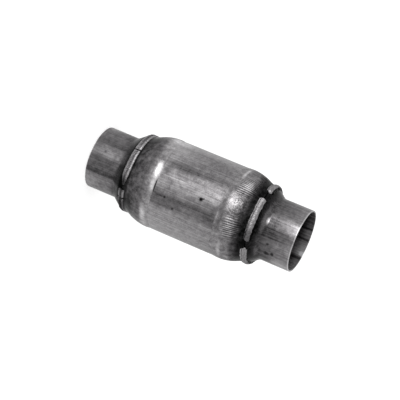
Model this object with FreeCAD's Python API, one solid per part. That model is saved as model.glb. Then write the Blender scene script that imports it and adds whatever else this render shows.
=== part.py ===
import FreeCAD, Part
import math
import os

Vector = FreeCAD.Vector

# Catalytic converter with a spun round shell, standing on its inlet end.
# The origin is the centre of the inlet rim, and +Z runs along the gas path to the outlet.
# Millimetres and degrees. Bearings are counted round +Z from -Y towards +X.

# Necks: pipe stubs with a flared mouth that laps inside the shell
neck_bore_radius = 32.0
neck_wall = 1.65
neck_straight = 31.5
rim_chamfer = 0.3
flare_rise = 7.25
flare_angle = 37.0
flare_root_radius = 6.0
flare_crown_radius = 3.0
collar_lap = 7.0
collar_clearance = 0.1
inlet_collar_exposed = 3.9
outlet_collar_exposed = 1.9

# Shell: one spun tube, with a low crown and a drawn-down shoulder at each end
shell_radius = 48.85
shell_wall = 1.5
cylinder_length = 71.4
crown_rise = 0.45
shoulder_radius = 46.0
mouth_radius_of_blend = 20.0

# Substrate and the mat wrapped round it
mat_thickness = 3.2
mat_length = 70.0
mat_clearance = 0.15
seam_width = 0.8
tongue_width = 26.0
substrate_length = 76.2
cell_pitch = 4.0
cell_wall = 0.5
skin_thickness = 1.0

# Weld beads: a round section laid in the corner of the mouth and the collar,
# with its centre below the mouth's face and a little way on to the shell
bead_radius = 3.5
bead_depth = 2.3
bead_shift = 0.35
# Each bead is its first bearing and its sweep
inlet_bead_angles = [(-104.0, 73.4), (-30.0, 55.0), (32.0, 15.0), (47.6, 84.0), (144.0, 100.0)]
outlet_bead_angles = [(-38.0, 70.0), (43.0, 82.0), (137.0, 78.0), (227.0, 82.0)]

# Values that follow from those above
neck_radius = neck_bore_radius + neck_wall
collar_radius = neck_radius + flare_rise
mouth_radius = collar_radius + collar_clearance + shell_wall
crown_radius = shell_radius + crown_rise
shell_bore_radius = shell_radius - shell_wall
substrate_radius = shell_bore_radius - mat_thickness

flare_turn = 1.0 - math.cos(math.radians(flare_angle))
flare_sine = math.sin(math.radians(flare_angle))
flare_cone_rise = flare_rise - (flare_root_radius + flare_crown_radius) * flare_turn
flare_cone_length = flare_cone_rise / math.tan(math.radians(flare_angle))
flare_length = (flare_root_radius + flare_crown_radius) * flare_sine + flare_cone_length

shoulder_drop = crown_radius - mouth_radius
shoulder_angle = math.degrees(math.acos(1.0 - shoulder_drop / (shoulder_radius + mouth_radius_of_blend)))
shoulder_length = (shoulder_radius + mouth_radius_of_blend) * math.sin(math.radians(shoulder_angle))
crease_to_crown = math.sqrt(shoulder_radius ** 2 - (shoulder_radius - crown_rise) ** 2)
half_shell = cylinder_length / 2 + crease_to_crown + shoulder_length

inlet_mouth_z = neck_straight + flare_length + inlet_collar_exposed
shell_middle_z = inlet_mouth_z + half_shell
outlet_mouth_z = shell_middle_z + half_shell
overall_length = outlet_mouth_z + outlet_collar_exposed + flare_length + neck_straight


def section_point(radius, z):
    """A point of the half section, in the plane of +X and +Z."""
    return Vector(radius, 0, z)


def arc_point(centre, radius, degrees):
    """The point of an arc in the half section."""
    turn = math.radians(degrees)
    return section_point(centre[0] + radius * math.cos(turn), centre[1] + radius * math.sin(turn))


def arc_edge(centre, radius, first, last):
    """An arc of the half section, from one angle to another."""
    points = [arc_point(centre, radius, turn) for turn in (first, (first + last) / 2, last)]
    return Part.Arc(points[0], points[1], points[2]).toShape()


def join(pieces):
    """A chain of edges: arcs as they come, with a straight line wherever two ends differ."""
    edges = []
    cursor = None
    for piece in pieces:
        start = piece if isinstance(piece, Vector) else piece.Vertexes[0].Point
        end = piece if isinstance(piece, Vector) else piece.Vertexes[-1].Point
        if cursor is not None and cursor.distanceToPoint(start) > 1e-6:
            edges.append(Part.LineSegment(cursor, start).toShape())
        if not isinstance(piece, Vector):
            edges.append(piece)
        cursor = end
    return edges


def spin(pieces):
    """The solid of revolution of a half section, closed back to its first point."""
    first = pieces[0] if isinstance(pieces[0], Vector) else pieces[0].Vertexes[0].Point
    edges = join(pieces + [first])
    face = Part.Face(Part.Wire(edges))
    return face.revolve(Vector(0, 0, 0), Vector(0, 0, 1), 360)


def reversed_arc(centre, radius, first, last):
    """The same arc run the other way."""
    return arc_edge(centre, radius, last, first)


def neck_flare(depth, arc):
    """The two arcs of the flare at a depth below the outer face, root first."""
    root_centre = (neck_radius + flare_root_radius, neck_straight)
    crown_centre = (collar_radius - flare_crown_radius, neck_straight + flare_length)
    root = arc(root_centre, flare_root_radius + depth, 180, 180 - flare_angle)
    crown = arc(crown_centre, flare_crown_radius - depth, -flare_angle, 0)
    return root, crown


def make_neck(exposed):
    """A neck with its rim at z = 0 and its collar above."""
    collar_end = neck_straight + flare_length + exposed + collar_lap
    outer_root, outer_crown = neck_flare(0, arc_edge)
    inner_root, inner_crown = neck_flare(neck_wall, reversed_arc)
    return spin([
        section_point(neck_radius - rim_chamfer, 0),
        section_point(neck_radius, rim_chamfer),
        outer_root,
        outer_crown,
        section_point(collar_radius, collar_end),
        section_point(collar_radius - neck_wall, collar_end),
        inner_crown,
        inner_root,
        section_point(neck_bore_radius, rim_chamfer),
        section_point(neck_bore_radius + rim_chamfer, 0),
    ])


def shoulder(depth, side):
    """The crown and blend arcs of one shoulder, below the outer face by depth, in rising z."""
    z_mouth = shell_middle_z + side * half_shell
    crown_centre = (crown_radius - shoulder_radius, z_mouth - side * shoulder_length)
    blend_centre = (mouth_radius + mouth_radius_of_blend, z_mouth)
    crown = shoulder_radius - depth
    blend = mouth_radius_of_blend + depth
    crease = math.degrees(math.acos((crown - crown_rise) / crown))
    if side > 0:
        return [arc_edge(crown_centre, crown, -crease, shoulder_angle),
                arc_edge(blend_centre, blend, 180 + shoulder_angle, 180)]
    return [arc_edge(blend_centre, blend, 180, 180 - shoulder_angle),
            arc_edge(crown_centre, crown, -shoulder_angle, crease)]


def shoulder_inside(side):
    """The same shoulder on the inner face, in falling z."""
    arcs = shoulder(shell_wall, side)
    turned = []
    for edge in reversed(arcs):
        points = [edge.valueAt(edge.ParameterRange[i]) for i in (1, 0)]
        middle = edge.valueAt(sum(edge.ParameterRange) / 2)
        turned.append(Part.Arc(points[0], middle, points[1]).toShape())
    return turned


def make_shell():
    """The spun shell, with its wall the same thickness all along."""
    return spin(shoulder(0, -1) + shoulder(0, 1) + shoulder_inside(1) + shoulder_inside(-1))


def turned_to(shape, bearing):
    """The shape turned round +Z from -Y to a bearing."""
    copy = shape.copy()
    copy.rotate(Vector(0, 0, 0), Vector(0, 0, 1), bearing)
    return copy


def weld_ground(exposed):
    """What the inlet beads lie on: the space inside the outer faces of the neck and the shell."""
    mouth_z = neck_straight + flare_length + exposed
    outer_root, outer_crown = neck_flare(0, arc_edge)
    blend_centre = (mouth_radius + mouth_radius_of_blend, mouth_z)
    blend = arc_edge(blend_centre, mouth_radius_of_blend, 180, 180 - shoulder_angle)
    return spin([
        section_point(0, neck_straight),
        outer_root,
        outer_crown,
        section_point(collar_radius, mouth_z),
        blend,
        section_point(0, blend.BoundBox.ZMax),
    ])


def make_bead(centre, ground, first, sweep):
    """One run of weld between two bearings, with rounded ends, lying on what it joins."""
    end_turn = math.degrees(bead_radius / abs(centre.y))
    run_turn = sweep - 2 * end_turn
    circle = Part.Circle(centre, Vector(1, 0, 0), bead_radius).toShape()
    section = Part.Face(Part.Wire([circle])).cut(ground)
    run = section.revolve(Vector(0, 0, 0), Vector(0, 0, 1), run_turn)
    half_ball = Part.makeSphere(bead_radius, Vector(0, 0, 0), Vector(0, 0, 1), -90, 90, 180)
    half_ball = turned_to(half_ball, 90)
    half_ball.translate(centre)
    first_end = half_ball.cut(ground)
    last_end = first_end.mirror(Vector(0, 0, 0), Vector(1, 0, 0))
    bead = run.fuse([first_end, turned_to(last_end, run_turn)])
    return turned_to(bead, first + end_turn)


def cell_centres():
    """The centre of each whole square channel that fits inside the skin."""
    reach = substrate_radius - skin_thickness
    half_cell = (cell_pitch - cell_wall) / 2
    count = int(reach / cell_pitch) + 1
    centres = []
    for row in range(-count, count + 1):
        for column in range(-count, count + 1):
            x = column * cell_pitch
            y = row * cell_pitch
            if math.hypot(abs(x) + half_cell, abs(y) + half_cell) < reach:
                centres.append((x, y))
    return centres


def make_substrate():
    """The honeycomb: square channels from face to face inside a round skin."""
    low = shell_middle_z - substrate_length / 2
    half_cell = (cell_pitch - cell_wall) / 2
    wires = [Part.Wire([Part.Circle(Vector(0, 0, low), Vector(0, 0, 1), substrate_radius).toShape()])]
    for x, y in cell_centres():
        corners = [Vector(x + i * half_cell, y + j * half_cell, low) for i, j in ((-1, -1), (1, -1), (1, 1), (-1, 1))]
        wires.append(Part.makePolygon(corners + [corners[0]]))
    face = Part.makeFace(wires, "Part::FaceMakerCheese")
    return face.extrude(Vector(0, 0, substrate_length))


def make_support_mat():
    """The mat, wrapped once round, with a tongue that fits a slot at its seam."""
    inner = substrate_radius + mat_clearance
    outer = shell_bore_radius - mat_clearance
    low = shell_middle_z - mat_length / 2
    sleeve = spin([
        section_point(inner, low),
        section_point(outer, low),
        section_point(outer, low + mat_length),
        section_point(inner, low + mat_length),
    ])
    third = mat_length / 3
    tongue_turn = math.degrees(tongue_width / outer)
    slits = []
    for index in range(3):
        slit = Part.makeBox(seam_width, outer, third + seam_width)
        slit.translate(Vector(-seam_width / 2, 0, low + index * third - seam_width / 2))
        slits.append(turned_to(slit, tongue_turn if index == 1 else 0))
    for index in (1, 2):
        band = Part.makeCylinder(outer, seam_width, Vector(0, 0, low + index * third - seam_width / 2),
                                 Vector(0, 0, 1), tongue_turn)
        slits.append(turned_to(band, 90))
    return sleeve.cut(slits[0].fuse(slits[1:]))


def mirrored(shape):
    """The shape turned end for end about the middle of the overall length."""
    return shape.mirror(Vector(0, 0, overall_length / 2), Vector(0, 0, 1))


def make_beads(name, exposed, runs):
    """The beads of one weld at the inlet end, as named pieces."""
    mouth_z = neck_straight + flare_length + exposed
    centre = Vector(0, bead_depth - mouth_radius, mouth_z + bead_shift)
    ground = weld_ground(exposed)
    return {"%s_weld_bead_%d" % (name, number): make_bead(centre, ground, first, sweep)
            for number, (first, sweep) in enumerate(runs, 1)}


def make_parts():
    """Every piece of the converter by name."""
    parts = {
        "shell": make_shell(),
        "inlet_neck": make_neck(inlet_collar_exposed),
        "outlet_neck": mirrored(make_neck(outlet_collar_exposed)),
        "substrate": make_substrate(),
        "support_mat": make_support_mat(),
    }
    parts.update(make_beads("inlet", inlet_collar_exposed, inlet_bead_angles))
    for name, bead in make_beads("outlet", outlet_collar_exposed, outlet_bead_angles).items():
        parts[name] = mirrored(bead)
    return parts


os.makedirs("parts", exist_ok=True)
for node, shape in make_parts().items():
    shape.exportStep("parts/%s.step" % node)
    print(node, shape.isValid(), len(shape.Solids), round(shape.Volume, 1))
print("overall length", round(overall_length, 2), "shoulder angle", round(shoulder_angle, 2))
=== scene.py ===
import math
from collections import namedtuple

import bpy
from mathutils import Matrix, Vector, noise


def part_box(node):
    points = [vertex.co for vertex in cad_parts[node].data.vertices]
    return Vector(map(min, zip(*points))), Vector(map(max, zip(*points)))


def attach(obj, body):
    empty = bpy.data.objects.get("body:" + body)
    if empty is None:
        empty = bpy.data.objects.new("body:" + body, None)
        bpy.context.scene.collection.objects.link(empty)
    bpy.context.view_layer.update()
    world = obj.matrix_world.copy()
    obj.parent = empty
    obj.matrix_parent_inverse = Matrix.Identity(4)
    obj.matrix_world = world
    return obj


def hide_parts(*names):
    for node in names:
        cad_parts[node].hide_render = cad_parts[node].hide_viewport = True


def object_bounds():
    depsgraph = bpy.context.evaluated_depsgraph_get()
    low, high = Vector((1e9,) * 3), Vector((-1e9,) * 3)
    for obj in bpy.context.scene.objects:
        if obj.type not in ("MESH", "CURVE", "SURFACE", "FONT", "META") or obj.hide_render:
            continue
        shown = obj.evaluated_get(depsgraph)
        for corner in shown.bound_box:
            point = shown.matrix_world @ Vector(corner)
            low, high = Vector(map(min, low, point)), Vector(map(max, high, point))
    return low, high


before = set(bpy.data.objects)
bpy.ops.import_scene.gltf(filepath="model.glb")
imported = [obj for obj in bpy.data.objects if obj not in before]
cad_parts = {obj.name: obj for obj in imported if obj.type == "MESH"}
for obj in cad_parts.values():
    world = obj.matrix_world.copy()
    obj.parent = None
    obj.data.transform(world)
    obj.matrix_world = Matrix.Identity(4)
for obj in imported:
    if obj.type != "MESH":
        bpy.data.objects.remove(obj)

# A round catalytic converter that stands on its inlet rim. Metres, with MM for millimetres, but the
# tables of patches, marks and tones and the finishes that read them are in plain millimetres.
# Bearings are degrees counted round +Z from -Y towards +X, as in the part's source.
MM = 0.001
CAD_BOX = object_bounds()
MIDDLE = Vector((0, 0, ((CAD_BOX[0] + CAD_BOX[1]) / 2).z))
JOIN_DISTANCE = 0.001 * MM

# The spun shell, from the sizes of the part's source
SHELL_LOW, SHELL_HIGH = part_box("shell")
SHELL_MIDDLE = (SHELL_LOW.z + SHELL_HIGH.z) / 2
HALF_SHELL = (SHELL_HIGH.z - SHELL_LOW.z) / 2
SHELL_WALL = 1.5 * MM
COLLAR_CLEARANCE = 0.1 * MM
COLLAR_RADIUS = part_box("inlet_neck")[1].x
MOUTH_RADIUS = COLLAR_RADIUS + COLLAR_CLEARANCE + SHELL_WALL
CROWN_RADIUS = SHELL_HIGH.x
CROWN_RISE = 0.45 * MM
CYLINDER_RADIUS = CROWN_RADIUS - CROWN_RISE
SHOULDER_ARC = 46.0 * MM
BLEND_ARC = 20.0 * MM
SHOULDER_ANGLE = math.acos(1 - (CROWN_RADIUS - MOUTH_RADIUS) / (SHOULDER_ARC + BLEND_ARC))
# Distances from mid-length: the crown, the crease where the cylinder ends, and the turn into the blend
CROWN_HEIGHT = HALF_SHELL - (SHOULDER_ARC + BLEND_ARC) * math.sin(SHOULDER_ANGLE)
CREASE_HEIGHT = CROWN_HEIGHT - math.sqrt(SHOULDER_ARC ** 2 - (SHOULDER_ARC - CROWN_RISE) ** 2)
TURN_HEIGHT = CROWN_HEIGHT + SHOULDER_ARC * math.sin(SHOULDER_ANGLE)
SHELL_STEPS = 900
SHOULDER_ROWS = 24
INSIDE_ROWS = 8
HALF_CYLINDER_ROWS = 6

# How the shell's skin departs from a true turned one
LONG_WAVE = 0.10 * MM
FINE_WAVE = 0.05 * MM
DIMPLE_DEPTH = 0.05 * MM
DIMPLE_SCALE = 170
DRESSING_FADE = 2 * MM
INLET_ROLL_DEPTH = 0.4 * MM
OUTLET_ROLL_DEPTH = 0.3 * INLET_ROLL_DEPTH

# Fine flutes that the spinning roller left on the outlet shoulder: how many would go round, how they
# stray from even spacing, and how they lean for each millimetre of height
FLUTES = 134
FLUTE_DEPTH = 0.45 * MM
FLUTE_SWAY = 1.2
FLUTE_SWAYS = 17
FLUTE_LEAN = 0.16
# Painted light and shade along the flutes: darker in their hollows, lighter on their crests
FLUTE_PAINTED_LIGHT_AND_SHADE = 0.20
# Where the flutes show: bearing, reach, height, half height
FLUTE_PATCHES = [(-39, 16, 173, 9.5), (-66, 14, 178, 6), (19, 16, 172.5, 8.5), (74, 14, 172, 8),
                 (150, 40, 172, 8), (-120, 35, 172, 8)]

# Weld beads: the section of the part's source, and how the laid metal departs from it
BEAD_RADIUS = 3.5 * MM
BEAD_DEPTH = 2.3 * MM
BEAD_SHIFT = 0.35 * MM
BEAD_SIDES = 40
BEAD_STEPS = 2.4  # to a degree
BEAD_SPREAD = 1.3
BEAD_NARROWEST = 0.4
RIPPLE_PITCH = 1.5 * MM
RIPPLE_BOW = 1.6 * MM
RIPPLE_RISE = 0.04
BEAD_SWELL = 0.07
BEAD_LUMPS = 0.05
BEAD_SWAY = 0.45 * MM
GROOVE_DEPTH = 0.17
GROOVE_REACH = 0.8 * MM

# A neck's weld: its mouth's height, the way out, its runs (first bearing, sweep, length of the tail
# that narrows), whether a groove runs along it, how far it slants, the length of its rounded ends,
# and where along its start it begins and ends to widen
Weld = namedtuple("Weld", "end mouth side runs grooved slant round_end start_low start_high")
INLET_RUNS = [(-104, 73.4, 0.8 * MM), (-30, 55, 13 * MM), (32, 15, 2.5 * MM), (47.6, 84, 4 * MM),
              (144, 100, 5 * MM)]
OUTLET_RUNS = [(-38, 70, 3 * MM), (43, 82, 4 * MM), (137, 78, 3 * MM), (227, 82, 3 * MM)]
INLET_WELD = Weld("inlet", SHELL_LOW.z, -1, INLET_RUNS, 1.0, 0.0, 0.7 * MM, -1 * MM, 0.6 * MM)
OUTLET_WELD = Weld("outlet", SHELL_HIGH.z, 1, OUTLET_RUNS, 0.0, 1.3 * MM, 3.6 * MM, 0.0, 3.5 * MM)

# The ceramic honeycomb
SUBSTRATE_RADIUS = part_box("substrate")[1].x
CELL_PITCH = 1.8 * MM
CELL_WALL = 0.3 * MM
CELL_DEPTH = 20 * MM
CELL_RECESS = 0.05 * MM
SKIN_WALL = 1.42 * CELL_PITCH
SKIN_STEPS = 180

# Linear base colours for tones from 0 to 1, near what the tones look like on a screen
STEEL_STOPS = [(0.0, (0.003, 0.003, 0.003)), (0.2, (0.031, 0.030, 0.031)), (0.4, (0.134, 0.129, 0.133)),
               (0.6, (0.322, 0.314, 0.320)), (0.8, (0.610, 0.600, 0.610)), (1.0, (0.98, 0.98, 1.0))]
SPECULAR_TINT = (0.72, 0.72, 0.72, 1)
MARK_RAGGED = 0.5
EDGE_WANDER = 0.10
TONE_RAMP_HEIGHT = 240.0
# Radii within a neck's wall, between which its finish turns from the bore's to the outer face's
BORE_SIDE = 32.7
OUTER_SIDE = 33.2

# Tones round the shell's cylinder and round the necks, light and dark bands that are painted reflection of
# the studio, with small changes on the far side: bearing, change of tone
SHELL_REFLECTION_BANDS = [(-100, 0.02), (-72, 0.06), (-50, 0.01), (-36, 0.0), (-28, -0.06), (-16, -0.03),
                  (-2, 0.02), (5, -0.04), (14, -0.15), (25, -0.12), (34, 0.0), (60, 0.03),
                  (100, 0.0), (140, -0.05), (170, 0.03), (-150, -0.04)]
INLET_REFLECTION_BANDS = [(-90, 0.06), (-60, 0.0), (-30, -0.03), (-12, 0.04), (-3, 0.03), (1, -0.05),
                  (20, -0.08), (24, -0.12), (30, -0.16), (33, 0.0), (37, 0.06), (45, 0.05), (90, 0.06),
                  (140, -0.04), (170, 0.02), (-140, -0.03)]
OUTLET_REFLECTION_BANDS = [(-90, 0.06), (-60, -0.02), (-34, 0.0), (-24, 0.0), (-6, 0.0), (0, -0.06),
                   (15, -0.08), (20, 0.0), (30, 0.0), (50, -0.02), (66, 0.04), (90, 0.04),
                   (140, -0.04), (170, 0.03), (-130, -0.04)]
# Round the necks' bores: dark streak lines, painted shade and painted highlights
BORE_STREAKS_SHADE_AND_GLINTS = [(-120, -0.22), (-142, -0.16), (-149.5, -0.08), (-152.5, -0.45), (-155.5, 0.0),
                  (-170, 0.0), (-174.5, -0.26), (-178.5, 0.06), (120, -0.04), (142, -0.02),
                  (147, -0.30), (151, 0.06), (158, 0.22), (168, 0.18), (176, 0.14)]

# Tones along the necks: height, tone. Each neck turns darker towards its weld, partly sooty and partly
# painted shade
INLET_HEIGHTS = [(0, 0.42), (10, 0.38), (26, 0.37), (34, 0.32), (39, 0.24), (44, 0.08)]
OUTLET_HEIGHTS = [(184, 0.0), (195, 0.05), (201, 0.25), (210, 0.32), (222, 0.40), (237, 0.47)]

# Marks on the shell: bearing, height from mid-length, half sizes, change of tone. A few are real dark spots
# and streaks; the rest are painted light: painted highlights by the inlet crease, on both crowns and on the
# outlet shoulder, the painted shade line in the inlet crease, and patches of painted shade and painted
# reflection, as at the top and bottom edges
SHELL_MARKS_AND_PAINTED_LIGHT = [(0.5, 15.5, 3.2, 2.6, -0.45), (-1, 18, 2, 1.8, -0.2), (15, -27.5, 1.6, 7.5, -0.10),
               (15, -21.5, 2.2, 1.8, -0.20), (25, -10.2, 2.2, 1.8, -0.18), (-19, 0.4, 3, 3, -0.08),
               (58, 46, 22, 3.5, 0.16), (-60, 43, 22, 2.3, 0.22), (58, -42, 34, 5.0, 0.16),
               (-10, -18, 1.6, 19, 0.10), (-4, 19, 4, 17, 0.06), (-26, 4, 4, 34, -0.08),
               (4, 4, 3, 40, -0.04), (-12, -38.5, 15, 5.5, 0.27), (6, -35.3, 12, 0.9, -0.40),
               (-11, 51, 15, 9, 0.08), (-45, 56, 22, 6, 0.05), (-84, 62, 30, 34, -0.12),
               (88, 25, 22, 52, -0.12), (-60, -30, 30, 16, 0.05), (6, -38.5, 12, 4, 0.20),
               (-45, 10, 24, 38, -0.06), (-38, 54, 12, 8, 0.10), (-58, -61, 28, 7, -0.12),
               (52, -61, 26, 8, -0.16), (-64, -43, 24, 10, 0.16), (48, -43, 16, 5, 0.10),
               (-26, -14, 13, 22, -0.10), (0, 40.5, 44, 4, -0.08), (-4, 54, 9, 8, -0.05),
               (21, 12, 9, 20, 0.06), (-72, -38, 14, 22, 0.10), (-20, -29, 13, 6, -0.08),
               (0, -22, 14, 6, -0.07), (28, 41, 6, 5, -0.08), (-44, -41, 10, 8, 0.06)]

# The bright spot of the outlet shoulder, with fine swirls and rings round it. Patches as the marks,
# with how ragged each is in place of its tone
BRIGHT_PATCH = (-8, 52, 40, 12, 0.3)
SWIRL_PATCH = (-12, 53, 14, 8, 0.5)
RING_PATCH = (-8, 51, 22, 14, 0.4)
RING_BEARING = -11
RING_HEIGHT = 52
RING_SHELL_RADIUS = 48.0

# Marks on the necks: bearing, height, half sizes, change of tone. Some are real streaks and spots; others
# are painted light: painted highlights at the outlet flare's root and along the inlet's top edge, a painted
# glint inside the outlet, and patches of painted shade
INLET_MARKS_AND_PAINTED_LIGHT = [(62, 38, 30, 9, -0.18), (-6, 33, 34, 7, 0.08), (-12, 14.7, 3, 2, -0.14),
               (-16, 16, 16, 14, 0.06), (-8, 22, 12, 9, 0.05), (-74, 8, 18, 12, 0.10),
               (54, 6, 22, 12, 0.07), (64, 37, 24, 8, -0.08), (-62, 30, 20, 7, -0.06)]
OUTLET_MARKS_AND_PAINTED_LIGHT = [(1.5, 216, 1.5, 22, -0.10), (16, 216, 1.6, 24, -0.10), (-10, 203.6, 9, 2.2, 0.42),
                (158, 235, 8, 5, 0.35), (28.5, 211.5, 3.5, 2.4, -0.2), (48, 212.3, 6, 4, -0.2),
                (45.5, 218.4, 5, 2.5, -0.25), (65, 226, 20, 12, 0.11), (-12, 216, 14, 18, -0.12),
                (66, 204, 18, 18, -0.10), (-6, 201, 34, 4, 0.13), (52, 201, 16, 4, 0.08),
                (-12, 231, 7, 7, -0.10)]

# The camera: its rise over level, its roll, its distance and the shift of its aim across its view
VIEW_RISE = math.radians(16.36)
VIEW_ROLL = math.radians(112.81)
VIEW_DISTANCE = 1583.5 * MM
VIEW_OFFSET = (0.71 * MM, -1.84 * MM)
LENS = 136.9


def select_nothing():
    bpy.ops.object.select_all(action="DESELECT")


def start_profile(name, first):
    """One vertex in edit mode, ready to be drawn out into a half section."""
    select_nothing()
    bpy.ops.mesh.primitive_plane_add(size=MM)
    piece = bpy.context.object
    piece.name = name
    bpy.ops.object.mode_set(mode="EDIT")
    bpy.ops.mesh.merge(type="CENTER")
    bpy.ops.transform.translate(value=first)
    return piece


def turn_profile(name, points, steps):
    """A closed half section in the plane of -Y and Z, drawn point by point and spun round the axis."""
    path = [Vector((0, -radius, z)) for radius, z in points]
    path.append(path[0])
    piece = start_profile(name, path[0])
    for before, after in zip(path, path[1:]):
        bpy.ops.mesh.extrude_region_move(TRANSFORM_OT_translate={"value": after - before})
    bpy.ops.mesh.select_all(action="SELECT")
    bpy.ops.mesh.remove_doubles(threshold=JOIN_DISTANCE)
    bpy.ops.mesh.spin(steps=steps, angle=2 * math.pi, center=(0, 0, 0), axis=(0, 0, 1))
    bpy.ops.mesh.select_all(action="SELECT")
    bpy.ops.mesh.remove_doubles(threshold=JOIN_DISTANCE)
    bpy.ops.mesh.normals_make_consistent(inside=False)
    bpy.ops.object.mode_set(mode="OBJECT")
    return piece


def finish_piece(piece, slot, material, *nodes, sharp=35):
    """Smooths a piece, gives it its finish and puts it in place of its CAD nodes."""
    select_nothing()
    piece.select_set(True)
    bpy.context.view_layer.objects.active = piece
    bpy.ops.object.shade_smooth_by_angle(angle=math.radians(sharp))
    piece.data.materials.clear()
    piece.data.materials.append(material)
    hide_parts(*nodes)
    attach(piece, "root")


def smooth_step(low, high, value):
    """A smooth step from 0 at low to 1 at high."""
    share = min(max((value - low) / (high - low), 0), 1)
    return share * share * (3 - 2 * share)


def wander(*place):
    """Smooth noise from -1 to 1 at a place."""
    return noise.noise(Vector(place))


def bearing_of(point):
    return math.degrees(math.atan2(point.x, -point.y))


def turn_between(first, second):
    """The smaller turn between two bearings."""
    return abs((first - second + 180) % 360 - 180)


# ---- Shell ----

def shell_radius(z, depth=0.0):
    """The shell's radius at a height, at a depth below its outer face."""
    height = abs(z - SHELL_MIDDLE)
    if height <= CREASE_HEIGHT:
        return CYLINDER_RADIUS - depth
    if height <= TURN_HEIGHT:
        arc = SHOULDER_ARC - depth
        return CROWN_RADIUS - SHOULDER_ARC + math.sqrt(arc ** 2 - (height - CROWN_HEIGHT) ** 2)
    arc = BLEND_ARC + depth
    return MOUTH_RADIUS + BLEND_ARC - math.sqrt(arc ** 2 - (HALF_SHELL - height) ** 2)


def shoulder_heights(rows):
    """Even heights over mid-length, from the crease to the mouth."""
    span = HALF_SHELL - CREASE_HEIGHT
    return [CREASE_HEIGHT + span * row / rows for row in range(rows + 1)]


def flute_depth(bearing, z):
    """How far the roller's flutes cut in at a point of the outlet shoulder."""
    turn = math.radians(bearing)
    sway = FLUTE_SWAY * math.sin(FLUTE_SWAYS * turn)
    wave = 0.5 + 0.5 * math.sin(FLUTES * turn + sway + FLUTE_LEAN * z / MM)
    strength = 0
    for middle, reach, height, half_height in FLUTE_PATCHES:
        around = smooth_step(1.15, 0.7, turn_between(bearing, middle) / reach)
        along = smooth_step(1.2, 0.5, abs(z / MM - height) / half_height)
        strength = max(strength, around * along)
    ragged = 0.8 + 0.4 * wander(bearing * 0.5, z / MM * 0.12, 8.0)
    return FLUTE_DEPTH * wave * strength * ragged


def dress_shell_point(point):
    """A point of the shell with its waviness, hammered dimples, rolled grooves and flutes."""
    bearing = bearing_of(point)
    radius = math.hypot(point.x, point.y)
    away = Vector((point.x / radius, point.y / radius, 0))
    from_crease = abs(point.z - SHELL_MIDDLE) - CREASE_HEIGHT
    cylinder = 1 - smooth_step(0, 1, (from_crease + DRESSING_FADE) / DRESSING_FADE)
    long_wave = wander(away.x * 3.1, away.y * 3.1, point.z * 3)
    fine_wave = wander(away.x * 9, away.y * 9, point.z * 4 + 5)
    dimple = noise.noise(point * DIMPLE_SCALE)
    move = -LONG_WAVE * (long_wave + 0.5)
    move -= FINE_WAVE * fine_wave * cylinder
    move -= DIMPLE_DEPTH * (dimple + 1) * (1 - cylinder)
    move -= flute_depth(bearing, point.z)
    if from_crease >= 0:
        depth = INLET_ROLL_DEPTH if point.z < SHELL_MIDDLE else OUTLET_ROLL_DEPTH
        move -= depth * smooth_step(1.1, 0.0, from_crease / (CROWN_HEIGHT - CREASE_HEIGHT))
    return point + away * move


def make_shell():
    """The shell as one turned skin, with its outer face dressed."""
    rows = shoulder_heights(SHOULDER_ROWS)
    cylinder_rows = range(1 - HALF_CYLINDER_ROWS, HALF_CYLINDER_ROWS)
    outside = [SHELL_MIDDLE - height for height in reversed(rows)]
    outside += [SHELL_MIDDLE + CREASE_HEIGHT * row / HALF_CYLINDER_ROWS for row in cylinder_rows]
    outside += [SHELL_MIDDLE + height for height in rows]
    upper = [SHELL_MIDDLE + height for height in shoulder_heights(INSIDE_ROWS)]
    inside = list(reversed(upper)) + [2 * SHELL_MIDDLE - z for z in upper]
    points = [(shell_radius(z), z) for z in outside]
    points += [(shell_radius(z, SHELL_WALL), z) for z in inside]
    piece = turn_profile("spun_shell", points, SHELL_STEPS)
    for vertex in piece.data.vertices:
        radius = math.hypot(vertex.co.x, vertex.co.y)
        on_outer_face = radius > shell_radius(vertex.co.z) - 0.3 * SHELL_WALL
        if on_outer_face:
            vertex.co = dress_shell_point(vertex.co)
    return piece


# ---- Weld beads ----

def bead_centre(weld):
    """The radius and the height of the middle of a bead's section."""
    return MOUTH_RADIUS - BEAD_DEPTH, weld.mouth - weld.side * BEAD_SHIFT


def dress_bead_point(point, weld, run, seed):
    """A point of a plain round run, tapered at its ends and rippled like laid metal."""
    middle_radius, middle_z = bead_centre(weld)
    first, sweep, tail = run
    bearing = first + (bearing_of(point) - first) % 360
    if bearing > first + sweep + 5:
        bearing -= 360
    arc = math.radians(1) * middle_radius
    from_start = (bearing - first) * arc
    from_finish = (first + sweep - bearing) * arc
    from_end = max(min(from_start, from_finish), 0)
    taper = 1.0
    if from_end < weld.round_end:
        taper = math.sqrt(max(1 - (1 - from_end / weld.round_end) ** 2, 0.0))
    out = math.hypot(point.x, point.y) - middle_radius
    up = point.z - middle_z
    bow = RIPPLE_BOW * (up / BEAD_RADIUS) ** 2
    ripple_place = (bearing * arc - bow) / RIPPLE_PITCH + 0.8 * wander(bearing * 0.3, seed, 0)
    ripple = RIPPLE_RISE * math.cos(2 * math.pi * ripple_place)
    swell = BEAD_SWELL * wander(bearing * 0.22, seed * 7.7, 1.0)
    lump = BEAD_LUMPS * wander(bearing * 0.9, up / MM * 0.9, seed)
    groove = weld.grooved * GROOVE_DEPTH * math.exp(-(up / GROOVE_REACH) ** 2)
    out *= (1 + ripple + swell + lump - groove) * taper
    sway = BEAD_SWAY * wander(bearing * 0.12, seed * 3.1, 4.0)
    sway += weld.slant * ((bearing - first) / sweep - 0.2)
    narrow = smooth_step(weld.start_low, weld.start_high, from_start) * smooth_step(0, tail, from_finish)
    width = BEAD_NARROWEST + (1 - BEAD_NARROWEST) * narrow
    up = up * BEAD_SPREAD * (1 + swell + lump) * width + sway
    radius = middle_radius + out
    turn = math.radians(bearing)
    return Vector((radius * math.sin(turn), -radius * math.cos(turn), middle_z + up))


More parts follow.
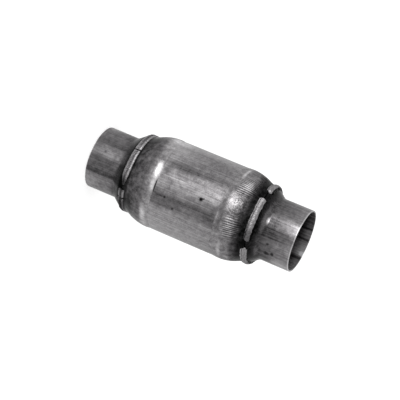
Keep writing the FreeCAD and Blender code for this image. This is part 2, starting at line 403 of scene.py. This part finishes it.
def make_run(name, weld, run, seed):
    """One weld run: a round section spun through its sweep, then dressed."""
    middle_radius, middle_z = bead_centre(weld)
    first, sweep = run[:2]
    select_nothing()
    bpy.ops.mesh.primitive_circle_add(vertices=BEAD_SIDES, radius=BEAD_RADIUS, fill_type="NGON",
                                      location=(0, -middle_radius, middle_z), rotation=(0, math.pi / 2, 0))
    piece = bpy.context.object
    piece.name = name
    bpy.ops.object.transform_apply(location=True, rotation=True, scale=True)
    bpy.ops.object.mode_set(mode="EDIT")
    bpy.ops.mesh.select_all(action="SELECT")
    bpy.ops.mesh.spin(steps=int(sweep * BEAD_STEPS), angle=math.radians(sweep), center=(0, 0, 0),
                      axis=(0, 0, -1))
    bpy.ops.mesh.select_all(action="SELECT")
    bpy.ops.mesh.remove_doubles(threshold=JOIN_DISTANCE)
    bpy.ops.mesh.normals_make_consistent(inside=False)
    bpy.ops.object.mode_set(mode="OBJECT")
    piece.data.transform(Matrix.Rotation(math.radians(first), 4, "Z"))
    for vertex in piece.data.vertices:
        vertex.co = dress_bead_point(vertex.co, weld, run, seed)
    return piece


def make_weld(weld):
    """All the runs of one neck's weld, each in place of its CAD bead."""
    material = weld_finish(weld)
    for number, run in enumerate(weld.runs, 1):
        piece = make_run("%s_weld_run_%d" % (weld.end, number), weld, run, number + weld.side * 10)
        finish_piece(piece, "weld_metal", material, "%s_weld_bead_%d" % (weld.end, number), sharp=60)


# ---- Substrate ----

def make_cells(name, z, down):
    """One open end of the honeycomb: a grid cut round, its faces inset and drawn in as channels."""
    count = int(2 * SUBSTRATE_RADIUS / CELL_PITCH) + 1
    select_nothing()
    bpy.ops.mesh.primitive_grid_add(x_subdivisions=count, y_subdivisions=count, size=count * CELL_PITCH,
                                    location=(0, 0, z))
    piece = bpy.context.object
    piece.name = name
    bpy.ops.object.transform_apply(location=True, rotation=True, scale=True)
    for part in (*piece.data.edges, *piece.data.polygons):
        part.select = False
    for vertex in piece.data.vertices:
        vertex.select = math.hypot(vertex.co.x, vertex.co.y) > SUBSTRATE_RADIUS - CELL_RECESS
    bpy.ops.object.mode_set(mode="EDIT")
    bpy.ops.mesh.delete(type="VERT")
    bpy.ops.mesh.select_all(action="SELECT")
    bpy.ops.mesh.inset(thickness=CELL_WALL / 2, use_individual=True)
    bpy.ops.mesh.extrude_region_move(TRANSFORM_OT_translate={"value": (0, 0, down * CELL_DEPTH)})
    bpy.ops.mesh.select_all(action="SELECT")
    bpy.ops.mesh.normals_make_consistent(inside=False)
    if down > 0:
        bpy.ops.mesh.flip_normals()
    bpy.ops.object.mode_set(mode="OBJECT")
    return piece


def make_substrate():
    """The ceramic honeycomb: a skin tube with its cells open at both ends."""
    low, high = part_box("substrate")
    inner = SUBSTRATE_RADIUS - SKIN_WALL
    points = [(SUBSTRATE_RADIUS, low.z), (SUBSTRATE_RADIUS, high.z), (inner, high.z), (inner, low.z)]
    skin = turn_profile("honeycomb", points, SKIN_STEPS)
    upper = make_cells("upper_cells", high.z - CELL_RECESS, -1)
    lower = make_cells("lower_cells", low.z + CELL_RECESS, 1)
    select_nothing()
    for piece in (skin, upper, lower):
        piece.select_set(True)
    bpy.context.view_layer.objects.active = skin
    bpy.ops.object.join()
    return skin


# ---- Materials ----

class Finish:
    """A procedural finish, built on the piece's own coordinates in millimetres."""

    def __init__(self, name, metallic):
        self.material = bpy.data.materials.new(name)
        self.material.use_nodes = True
        self.tree = self.material.node_tree
        self.shader = self.tree.nodes["Principled BSDF"]
        self.shader.inputs["Specular Tint"].default_value = SPECULAR_TINT
        self.shader.inputs["Metallic"].default_value = metallic
        metres = self.add("TexCoord", {}).outputs["Object"]
        self.place = self.add("VectorMath", {0: metres, "Scale": 1 / MM}, operation="SCALE").outputs[0]
        split = self.add("SeparateXYZ", {0: self.place}).outputs
        self.height = split["Z"]
        self.across = self.length(split["X"], split["Y"])
        self.bearing = self.maths("ARCTAN2", split["X"], self.maths("MULTIPLY", split["Y"], -1))

    def add(self, kind, inputs, **settings):
        """A node with its settings, and its inputs given as values or joined to sockets."""
        made = self.tree.nodes.new("ShaderNode" + kind)
        for name, value in settings.items():
            setattr(made, name, value)
        for key, value in inputs.items():
            if isinstance(value, bpy.types.NodeSocket):
                self.tree.links.new(value, made.inputs[key])
            else:
                made.inputs[key].default_value = value
        return made

    def maths(self, operation, first, second=0.5, third=0.5):
        """A sum on up to three values or sockets."""
        return self.add("Math", {0: first, 1: second, 2: third}, operation=operation).outputs[0]

    def length(self, first, second):
        """The length of a line that goes so far one way and so far across it."""
        squares = [self.maths("MULTIPLY", part, part) for part in (first, second)]
        return self.maths("SQRT", self.maths("ADD", *squares))

    def away(self, value, middle):
        """How far a value is from a middle one."""
        return self.maths("ABSOLUTE", self.maths("SUBTRACT", value, middle))

    def noise(self, scale, stretch=(1, 1, 1), detail=3, shift=0):
        """Noise from 0 to 1 whose scale is in waves to a millimetre."""
        mapping = self.add("Mapping", {"Vector": self.place, "Scale": stretch, "Location": (shift, 0, 0)})
        made = self.add("TexNoise", {"Vector": mapping.outputs[0], "Scale": scale, "Detail": detail,
                                     "Roughness": 0.6})
        return made.outputs["Fac"]

    def step(self, low, high, value):
        """A smooth step from 0 at low to 1 at high."""
        made = self.add("MapRange", {"Value": value, "From Min": low, "From Max": high},
                        interpolation_type="SMOOTHSTEP")
        return made.outputs[0]

    def band(self, value, middle, edge, core):
        """1 where a value is within core of a middle one, and 0 where it is past edge."""
        return self.step(edge, core, self.away(value, middle))

    def patch(self, bearing, z, half_turn, half_height, ragged):
        """1 in the middle of a round patch and 0 at its edge, ragged by noise."""
        turn = self.maths("SUBTRACT", self.bearing, math.radians(bearing))
        turn = self.maths("WRAP", turn, math.pi, -math.pi)
        turn = self.maths("DIVIDE", turn, math.radians(half_turn))
        along = self.maths("DIVIDE", self.maths("SUBTRACT", self.height, z), half_height)
        far = self.length(turn, along)
        far = self.maths("MULTIPLY_ADD", self.noise(0.35, detail=4, shift=bearing), ragged,
                         self.maths("SUBTRACT", far, ragged / 2))
        return self.step(1.0, 0.2, far)

    def ramp(self, share, stops):
        """A smooth curve of amounts from -1 to 1 over a share from 0 to 1."""
        ramp = self.add("ValToRGB", {"Fac": share})
        curve = ramp.color_ramp
        curve.interpolation = "EASE"
        for number, (position, amount) in enumerate(sorted(stops)):
            if number < 2:
                stop = curve.elements[number]
                stop.position = position
            else:
                stop = curve.elements.new(position)
            level = (amount + 1) / 2
            stop.color = (level, level, level, 1)
        return self.maths("MULTIPLY_ADD", ramp.outputs["Color"], 2.0, -1.0)

    def along(self, stops):
        """Amounts at heights in millimetres."""
        share = self.maths("DIVIDE", self.height, TONE_RAMP_HEIGHT)
        return self.ramp(share, [(z / TONE_RAMP_HEIGHT, amount) for z, amount in stops])

    def around(self, stops):
        """Amounts at bearings in degrees, with edges that wander a little."""
        to_share = 0.5 / math.pi
        turn = self.maths("MULTIPLY_ADD", self.noise(0.05, shift=31), EDGE_WANDER, self.bearing)
        share = self.maths("MULTIPLY_ADD", turn, to_share, 0.5 - EDGE_WANDER / 2 * to_share)
        return self.ramp(share, [(bearing / 360 + 0.5, amount) for bearing, amount in stops])

    def plus(self, value, amount, *masks):
        """The value with an amount added where every mask is 1."""
        total = masks[0]
        for mask in masks[1:]:
            total = self.maths("MULTIPLY", total, mask)
        return self.maths("MULTIPLY_ADD", total, amount, value)

    def vary(self, value, amount, pattern, *masks):
        """The value made to go up and down with a pattern whose middle is 0.5."""
        return self.plus(value, amount, self.maths("SUBTRACT", pattern, 0.5), *masks)

    def marks(self, value, marks, base=0):
        """The value with marks added, each a ragged patch at a height over the base."""
        for bearing, height, half_turn, half_height, amount in marks:
            patch = self.patch(bearing, base + height, half_turn, half_height, MARK_RAGGED)
            value = self.plus(value, amount, patch)
        return value

    def colour(self, tone, stops):
        """The base colour at each tone."""
        ramp = self.add("ValToRGB", {"Fac": tone})
        steps = ramp.color_ramp.elements
        steps[0].position, steps[0].color = stops[0][0], (*stops[0][1], 1)
        steps[1].position, steps[1].color = stops[-1][0], (*stops[-1][1], 1)
        for position, tint in stops[1:-1]:
            steps.new(position).color = (*tint, 1)
        self.tree.links.new(ramp.outputs["Color"], self.shader.inputs["Base Color"])

    def metal(self, value):
        self.tree.links.new(value, self.shader.inputs["Metallic"])

    def rough(self, pattern, spread, base):
        """Roughness that goes up from a base with a pattern."""
        value = self.maths("MULTIPLY_ADD", pattern, spread, base)
        self.tree.links.new(value, self.shader.inputs["Roughness"])

    def bump(self, height, distance):
        """Relief whose distance is in millimetres."""
        made = self.add("Bump", {"Height": height, "Distance": distance * MM, "Strength": 1.0})
        self.tree.links.new(made.outputs["Normal"], self.shader.inputs["Normal"])


def shoulder_shine(f, tone, middle, mottle, specks):
    """The shell's tone with the bright spot of the outlet shoulder: specks, swirls and rings."""

    def shell_patch(bearing, height, *sizes):
        return f.patch(bearing, middle + height, *sizes)

    tone = f.vary(tone, 0.45, specks, shell_patch(*BRIGHT_PATCH))
    swirls = f.maths("SUBTRACT", f.noise(0.7, shift=61), 0.54)
    tone = f.plus(tone, 1.2, swirls, shell_patch(*SWIRL_PATCH))
    turn = f.maths("ADD", f.bearing, math.radians(-RING_BEARING))
    along = f.maths("SUBTRACT", f.height, middle + RING_HEIGHT)
    far = f.length(f.maths("MULTIPLY", turn, RING_SHELL_RADIUS), along)
    rings = f.maths("SINE", f.maths("MULTIPLY_ADD", far, 2.0, f.maths("MULTIPLY", mottle, 9.0)))
    rings = f.maths("MULTIPLY", rings, f.step(4.0, 9.0, far))
    return f.plus(tone, 0.05, rings, shell_patch(*RING_PATCH))


def shell_finish():
    """Spun stainless steel: drawn streaks along the cylinder with painted reflection bands round it, dull
    mottled shoulders, painted highlights and painted shade in marks and at the creases, and darker towards
    the welds, partly sooty and partly painted shade.
    """
    low, high = SHELL_LOW.z / MM, SHELL_HIGH.z / MM
    middle, crease, crown = SHELL_MIDDLE / MM, CREASE_HEIGHT / MM, CROWN_HEIGHT / MM
    f = Finish("spun_steel", metallic=1.0)
    cylinder = f.band(f.height, middle, edge=crease + 0.8, core=crease - 0.8)
    shoulder = f.maths("SUBTRACT", 1.0, cylinder)
    broad = f.noise(0.16, stretch=(1, 1, 0.03), detail=2)
    lines = f.noise(0.9, stretch=(1, 1, 0.025), detail=4, shift=7)
    mottle = f.noise(0.22, detail=6, shift=3)
    specks = f.noise(1.3, shift=11)

    # Darker towards the welds, partly sooty and partly painted shade
    tone = f.along([(low, 0.0), (low + 3.5, 0.04), (low + 7, 0.25), (middle - 50, 0.33),
                    (middle - crown, 0.45), (middle - crease, 0.51), (middle - 10, 0.49),
                    (middle + crease, 0.46), (middle + 54, 0.44), (middle + 60, 0.24), (high - 6, 0.04),
                    (high, 0.0)])
    # Painted reflection bands round the cylinder
    tone = f.plus(tone, 1.0, f.around(SHELL_REFLECTION_BANDS), cylinder)
    tone = f.vary(tone, 0.16, broad)
    tone = f.vary(tone, 0.34, lines, cylinder)
    tone = f.vary(tone, 0.30, mottle)
    tone = f.vary(tone, 0.22, mottle, shoulder)
    tone = f.vary(tone, 0.26, specks)
    # Real spots and streaks, with painted highlights, painted shade and painted reflection
    tone = f.marks(tone, SHELL_MARKS_AND_PAINTED_LIGHT, base=middle)

    # Painted light and shade along the flutes, darker in their hollows
    wave = f.maths("MULTIPLY_ADD", f.bearing, float(FLUTES), f.maths("MULTIPLY", f.height, FLUTE_LEAN))
    wave = f.plus(wave, FLUTE_SWAY, f.maths("SINE", f.maths("MULTIPLY", f.bearing, float(FLUTE_SWAYS))))
    wave = f.maths("SINE", wave)
    for bearing, reach, height, half_height in FLUTE_PATCHES:
        patch = f.patch(bearing, height, reach * 1.3, half_height * 1.4, 0.6)
        tone = f.plus(tone, -FLUTE_PAINTED_LIGHT_AND_SHADE, wave, patch)
    tone = shoulder_shine(f, tone, middle, mottle, specks)

    broken = f.step(0.45, 0.62, broad)
    # A broken dark line at each crease, painted shade
    for side, amount in ((-1, -0.10), (1, -0.05)):
        crease_shade = f.band(f.height, middle + side * crease, edge=0.9, core=0.1)
        tone = f.plus(tone, amount, crease_shade, broken)
    f.colour(tone, STEEL_STOPS)

    outlet_shoulder = f.step(middle + 44, middle + 48, f.height)
    f.rough(mottle, 0.16, f.plus(0.22, 0.10, outlet_shoulder))
    relief = f.plus(f.maths("MULTIPLY", specks, 0.35), 1.0, lines, cylinder)
    relief = f.plus(relief, 2.2, f.noise(0.45, detail=4, shift=51), shoulder)
    f.bump(relief, 0.06)
    return f.material


def neck_finish(name, rim, heights, bearings, marks):
    """Drawn tube: streaks all the way along, painted reflection bands round it, darker towards the weld
    (partly sooty, partly painted shade), painted shade deeper inside the bore and a painted highlight along
    the rim.
    """
    f = Finish(name, metallic=1.0)
    lines = f.noise(0.8, stretch=(1, 1, 0.02), detail=4, shift=17)
    mottle = f.noise(0.25, detail=5, shift=13)
    specks = f.noise(1.3, shift=19)
    outside = f.step(BORE_SIDE, OUTER_SIDE, f.across)
    inside = f.maths("SUBTRACT", 1.0, outside)

    # Darker towards the weld, partly sooty and partly painted shade
    tone = f.along(heights)
    # Painted reflection bands round the outside
    tone = f.plus(tone, 1.0, f.around(bearings), outside)
    tone = f.vary(tone, 0.30, lines)
    tone = f.vary(tone, 0.30, mottle)
    tone = f.vary(tone, 0.16, specks)
    # Real streaks and spots, with painted highlights and painted shade
    tone = f.marks(tone, marks)
    tone = f.vary(tone, 0.30, lines, inside)
    # Round the bore: dark streak lines, painted shade and painted highlights
    tone = f.plus(tone, 1.0, f.around(BORE_STREAKS_SHADE_AND_GLINTS), inside)
    # A painted highlight along the rim
    rim_highlight = f.band(f.height, rim, edge=1.2, core=0.3)
    tone = f.plus(tone, 0.22, rim_highlight, outside)
    # Painted shade deeper inside the bore
    deep_bore_shade = f.step(2.0, 15.0, f.away(f.height, rim))
    tone = f.plus(tone, -0.34, deep_bore_shade, inside)
    tone = f.plus(tone, 0.08, inside)
    f.colour(tone, STEEL_STOPS)

    f.metal(f.maths("MULTIPLY_ADD", outside, 0.85, 0.15))
    f.rough(mottle, 0.16, 0.24)
    f.bump(f.plus(f.maths("MULTIPLY", mottle, 0.4), 1.0, lines), 0.05)
    return f.material


def weld_finish(weld):
    """Laid weld metal: mottled grey with paler lips, pinholes, dark toes that are partly sooty and partly
    painted shade, a dark line along it that is painted shade in the inlet bead's groove, and patches of
    painted shade and painted reflection.
    """
    middle = bead_centre(weld)[1] / MM
    f = Finish(weld.end + "_weld", metallic=1.0)
    mottle = f.noise(0.5, detail=5, shift=5)
    specks = f.noise(1.4, shift=9)
    out = f.maths("MULTIPLY", f.maths("SUBTRACT", f.height, middle), weld.side)
    out = f.vary(out, 1.6, f.noise(0.25, detail=2, shift=40))

    tone = f.maths("MULTIPLY_ADD", mottle, 0.50, 0.25 - 0.04 * weld.grooved)
    # Painted shade on the inlet bead at bearing 62
    tone = f.plus(tone, -0.24 * weld.grooved, f.patch(62, middle, 26, 20, 0.3))
    pinholes = f.step(0.36, 0.30, specks)
    tone = f.plus(tone, -0.35, pinholes)
    shell_lip = f.band(out, -2.2, edge=0.9, core=0.3)
    tone = f.plus(tone, 0.12, shell_lip)
    neck_lip = f.band(out, 3.0, edge=0.8, core=0.2)
    tone = f.plus(tone, 0.10 * weld.grooved, neck_lip)
    # Dark toes, partly sooty and partly painted shade
    shell_toe_soot_and_shade = f.step(-3.1, -3.6, out)
    tone = f.plus(tone, -0.50, shell_toe_soot_and_shade)
    neck_toe_soot_and_shade = f.step(3.9, 4.4, out)
    tone = f.plus(tone, -0.50, neck_toe_soot_and_shade)
    # A painted reflection band at bearing 25
    tone = f.plus(tone, -0.17, f.patch(25, middle, 20, 12, 0.7))
    tone = f.plus(tone, 0.08, f.patch(-34, middle, 7, 6, 0.6))
    # On the inlet bead this dark line lies in the groove, as painted shade
    dark_line = f.band(out, 1.6 * weld.grooved - 1.2, edge=0.9 + 0.6 * weld.grooved, core=0.3)
    tone = f.plus(tone, -0.24, dark_line, f.step(0.35, 0.6, mottle))
    f.colour(tone, STEEL_STOPS)

    f.rough(mottle, 0.2, 0.32)
    f.bump(f.plus(f.maths("MULTIPLY", specks, 0.6), -1.0, pinholes), 0.15)
    return f.material


def plain_finish(name, dark, light, scale, rough):
    """A dull mineral finish for the pieces inside."""
    f = Finish(name, metallic=0.0)
    grain = f.noise(scale, detail=5)
    f.colour(grain, [(0.3, dark), (0.7, light)])
    f.rough(grain, 0.1, rough)
    f.bump(grain, 0.1)
    return f.material


def give(node, material):
    """A carried-over CAD node's own finish."""
    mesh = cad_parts[node].data
    mesh.materials.clear()
    mesh.materials.append(material)


# ---- Studio ----

def make_camera():
    """The camera in front, a little above, rolled so that the converter lies across the frame."""
    back = Vector((0, -math.cos(VIEW_RISE), math.sin(VIEW_RISE)))
    level = Vector((1, 0, 0))
    rise = back.cross(level)
    right = math.cos(VIEW_ROLL) * level + math.sin(VIEW_ROLL) * rise
    up = back.cross(right)
    data = bpy.data.cameras.new("studio_camera")
    data.lens = LENS
    data.sensor_width = 36
    data.clip_start = 0.01
    camera = bpy.data.objects.new("studio_camera", data)
    bpy.context.scene.collection.objects.link(camera)
    turn = Matrix((right, up, back)).transposed().to_4x4()
    spot = MIDDLE + back * VIEW_DISTANCE + right * VIEW_OFFSET[0] + up * VIEW_OFFSET[1]
    camera.matrix_world = Matrix.Translation(spot) @ turn
    bpy.context.scene.camera = camera


def seen_directly(tree):
    """1 for rays that show the background: camera, glossy and transmission."""
    path = tree.nodes.new("ShaderNodeLightPath")
    total = path.outputs["Is Camera Ray"]
    for name in ("Is Glossy Ray", "Is Transmission Ray"):
        most = tree.nodes.new("ShaderNodeMath")
        most.operation = "MAXIMUM"
        tree.links.new(total, most.inputs[0])
        tree.links.new(path.outputs[name], most.inputs[1])
        total = most.outputs[0]
    return total


def make_world(fill, shown):
    """A plain pale world: dimmer as a light than as the background it shows."""
    world = bpy.data.worlds.new("studio_world")
    bpy.context.scene.world = world
    world.use_nodes = True
    tree = world.node_tree
    strength = tree.nodes.new("ShaderNodeMapRange")
    strength.inputs["To Min"].default_value = fill
    strength.inputs["To Max"].default_value = shown
    tree.links.new(seen_directly(tree), strength.inputs["Value"])
    tree.links.new(strength.outputs[0], tree.nodes["Background"].inputs["Strength"])
    tree.nodes["Background"].inputs["Color"].default_value = (1, 1, 1, 1)


def make_floor(size, grey, glow):
    """A wide pale floor that keeps the shadow and shows white."""
    select_nothing()
    bpy.ops.mesh.primitive_plane_add(size=size)
    floor = bpy.context.object
    floor.name = "studio_floor"
    material = bpy.data.materials.new("studio_floor")
    material.use_nodes = True
    tree = material.node_tree
    shader = tree.nodes["Principled BSDF"]
    shader.inputs["Base Color"].default_value = (grey, grey, grey, 1)
    shader.inputs["Roughness"].default_value = 0.9
    shader.inputs["Specular IOR Level"].default_value = 0.0
    shader.inputs["Emission Color"].default_value = (1, 1, 1, 1)
    strength = tree.nodes.new("ShaderNodeMath")
    strength.operation = "MULTIPLY"
    strength.inputs[1].default_value = glow
    tree.links.new(seen_directly(tree), strength.inputs[0])
    tree.links.new(strength.outputs[0], shader.inputs["Emission Strength"])
    floor.data.materials.append(material)


def make_softbox(name, bearing, rise, distance, size, power):
    """A soft lamp that looks at the middle of the converter."""
    data = bpy.data.lights.new(name, "AREA")
    data.shape = "RECTANGLE"
    data.size, data.size_y = size
    data.energy = power
    lamp = bpy.data.objects.new(name, data)
    bpy.context.scene.collection.objects.link(lamp)
    turn, lift = math.radians(bearing), math.radians(rise)
    away = Vector((math.sin(turn) * math.cos(lift), -math.cos(turn) * math.cos(lift), math.sin(lift)))
    lamp.location = MIDDLE + away * distance
    lamp.rotation_euler = away.to_track_quat("Z", "Y").to_euler()


# ---- The scene ----

make_camera()
make_world(fill=0.7, shown=1.0)
make_floor(size=12, grey=0.86, glow=0.55)
make_softbox("key_softbox", bearing=-26, rise=0.8, distance=0.69, size=(0.36, 0.21), power=1.6)

steel = shell_finish()
finish_piece(make_shell(), "shell_steel", steel, "shell")
make_weld(INLET_WELD)
make_weld(OUTLET_WELD)
outlet_rim = CAD_BOX[1].z / MM
give("inlet_neck", neck_finish("inlet_tube", 0.0, INLET_HEIGHTS, INLET_REFLECTION_BANDS, INLET_MARKS_AND_PAINTED_LIGHT))
give("outlet_neck", neck_finish("outlet_tube", outlet_rim, OUTLET_HEIGHTS, OUTLET_REFLECTION_BANDS, OUTLET_MARKS_AND_PAINTED_LIGHT))
cordierite = plain_finish("cordierite", (0.36, 0.31, 0.23), (0.55, 0.49, 0.38), scale=0.4, rough=0.8)
finish_piece(make_substrate(), "cordierite", cordierite, "substrate")
give("support_mat", plain_finish("mat_fibre", (0.45, 0.43, 0.38), (0.66, 0.64, 0.58), scale=0.8, rough=0.85))

bpy.context.scene.view_settings.view_transform = "Standard"
